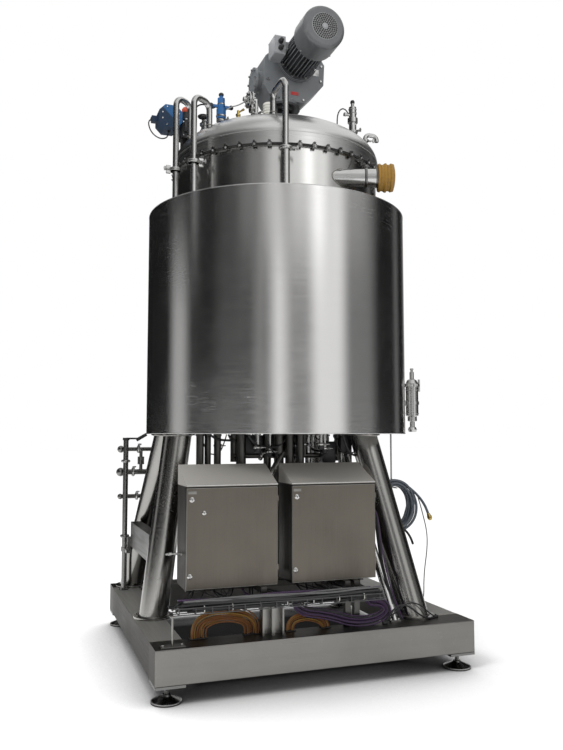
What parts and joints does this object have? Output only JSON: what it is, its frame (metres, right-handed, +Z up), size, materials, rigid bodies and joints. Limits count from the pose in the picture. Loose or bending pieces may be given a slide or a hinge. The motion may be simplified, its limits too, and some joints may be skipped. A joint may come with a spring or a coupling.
{
  "type": "jacketed process vessel with agitator",
  "caption": "Upright jacketed stainless steel process vessel with a top agitator drive, splayed legs, a levelled skid, hinged control cabinets, pipes and cable tray.",
  "frame": {"origin": "on the floor, below the middle of the skid", "axes": "+X to the right along the cabinet fronts, +Y from the cabinets to the back, +Z up"},
  "size_m": [2.076, 2.032, 4.497],
  "materials": {
    "actuator_plastic": "satin blue",
    "breather_plastic": "satin off-white",
    "cabinet_paint": "fine brushed warm grey",
    "cable_dark": "satin dark",
    "cable_orange": "satin orange",
    "cap_plastic": "satin tan",
    "clamp_steel": "machined",
    "drive_paint": "satin grey paint",
    "fitting_brass": "machined",
    "foot_steel": "machined",
    "hose_rubber": "matte blue grey",
    "jacket_steel": "fine brushed upright",
    "leg_steel": "polished along the tube",
    "motor_dark": "satin dark paint",
    "pipe_steel": "polished",
    "skid_steel": "brushed, warm grey",
    "tray_wire": "zinc bright",
    "valve_dark": "satin black",
    "vessel_steel": "satin"
  },
  "bodies": {
    "plant": {"actuator_blue": "actuator_plastic", "agitator_lantern": "motor_dark", "body_flange": "vessel_steel", "bottom_outlet_valve": "pipe_steel", "bottom_pipework": "pipe_steel", "cabinet_left_housing": "cabinet_paint", "cabinet_right_housing": "cabinet_paint", "cabinet_stand": "pipe_steel", "cable_tray": "tray_wire", "cross_beam_left": "leg_steel", "filter_housing": "pipe_steel", "gearbox_housing": "drive_paint", "gooseneck_vent": "pipe_steel", "hose_coil": "hose_rubber", "hose_connector": "fitting_brass", "hose_hook": "pipe_steel", "inclined_drain_pipe": "pipe_steel", "jacket_bottom_plate": "jacket_steel", "jacket_shell": "jacket_steel", "jacket_top_plate": "jacket_steel", "leg_front_left": "leg_steel", "leg_front_right": "leg_steel", "leg_rear_left": "leg_steel", "leg_rear_right": "leg_steel", "levelling_foot_front_left": "foot_steel", "levelling_foot_front_right": "foot_steel", "levelling_foot_rear_left": "foot_steel", "levelling_foot_rear_right": "foot_steel", "lid_clamps": "clamp_steel", "lid_head": "vessel_steel", "manifold_pipes": "pipe_steel", "manifold_post": "pipe_steel", "manifold_valve": "valve_dark", "motor_fan_cowl": "drive_paint", "motor_stator": "motor_dark", "motor_terminal_box": "drive_paint", "orange_cable_coil": "cable_orange", "relief_valve": "pipe_steel", "ribbed_breather": "breather_plastic", "riser_left_inner": "pipe_steel", "riser_left_outer": "pipe_steel", "side_nozzle": "pipe_steel", "side_nozzle_cap": "cap_plastic", "sight_glass": "pipe_steel", "skid_front_beam": "skid_steel", "skid_left_beam": "skid_steel", "skid_rear_beam": "skid_steel", "skid_right_beam": "skid_steel", "transmitter_blue": "actuator_plastic", "tray_posts": "tray_wire", "valve_block_left": "valve_dark", "vent_riser_front": "pipe_steel", "vessel_bottom_head": "vessel_steel", "vessel_shell": "vessel_steel", "violet_cable_loop": "cable_dark"},
    "door_left": {"cabinet_left_door": "cabinet_paint"},
    "door_right": {"cabinet_right_door": "cabinet_paint"}
  },
  "joints": [
    {"name": "cabinet_left_hinge", "type": "hinge", "parent": "plant", "child": "door_left", "pos_m": [-0.231, -0.7835, 0.886], "axis": [0, 0, 1], "range_deg": [0, 120]},
    {"name": "cabinet_right_hinge", "type": "hinge", "parent": "plant", "child": "door_right", "pos_m": [0.444, -0.7835, 0.886], "axis": [0, 0, 1], "range_deg": [0, 120]}
  ]
}
